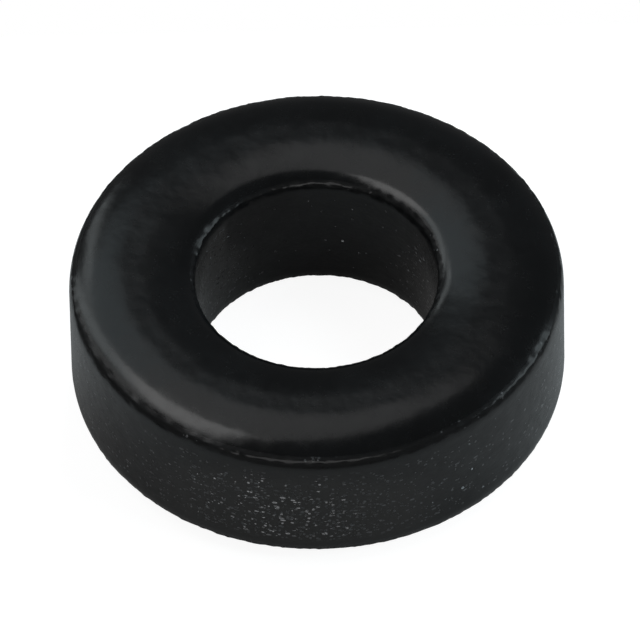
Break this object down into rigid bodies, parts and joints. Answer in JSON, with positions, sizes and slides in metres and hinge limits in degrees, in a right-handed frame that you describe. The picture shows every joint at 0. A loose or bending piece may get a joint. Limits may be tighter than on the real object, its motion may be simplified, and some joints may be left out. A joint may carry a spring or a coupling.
{
  "type": "ferrite toroid core",
  "caption": "Bare ring core of pressed ferrite with straight walls, crowned faces and a through bore for a winding.",
  "frame": {"origin": "on the bore's axis, at the level of the lower land that the core rests on", "axes": "+Z along the bore's axis, away from the surface the core rests on; X and Y across the ring, which is alike all round"},
  "size_m": [0.0096, 0.0096, 0.0032],
  "materials": {
    "sintered_ferrite": "satin"
  },
  "bodies": {
    "root": {"toroid_core": "sintered_ferrite"}
  },
  "joints": []
}
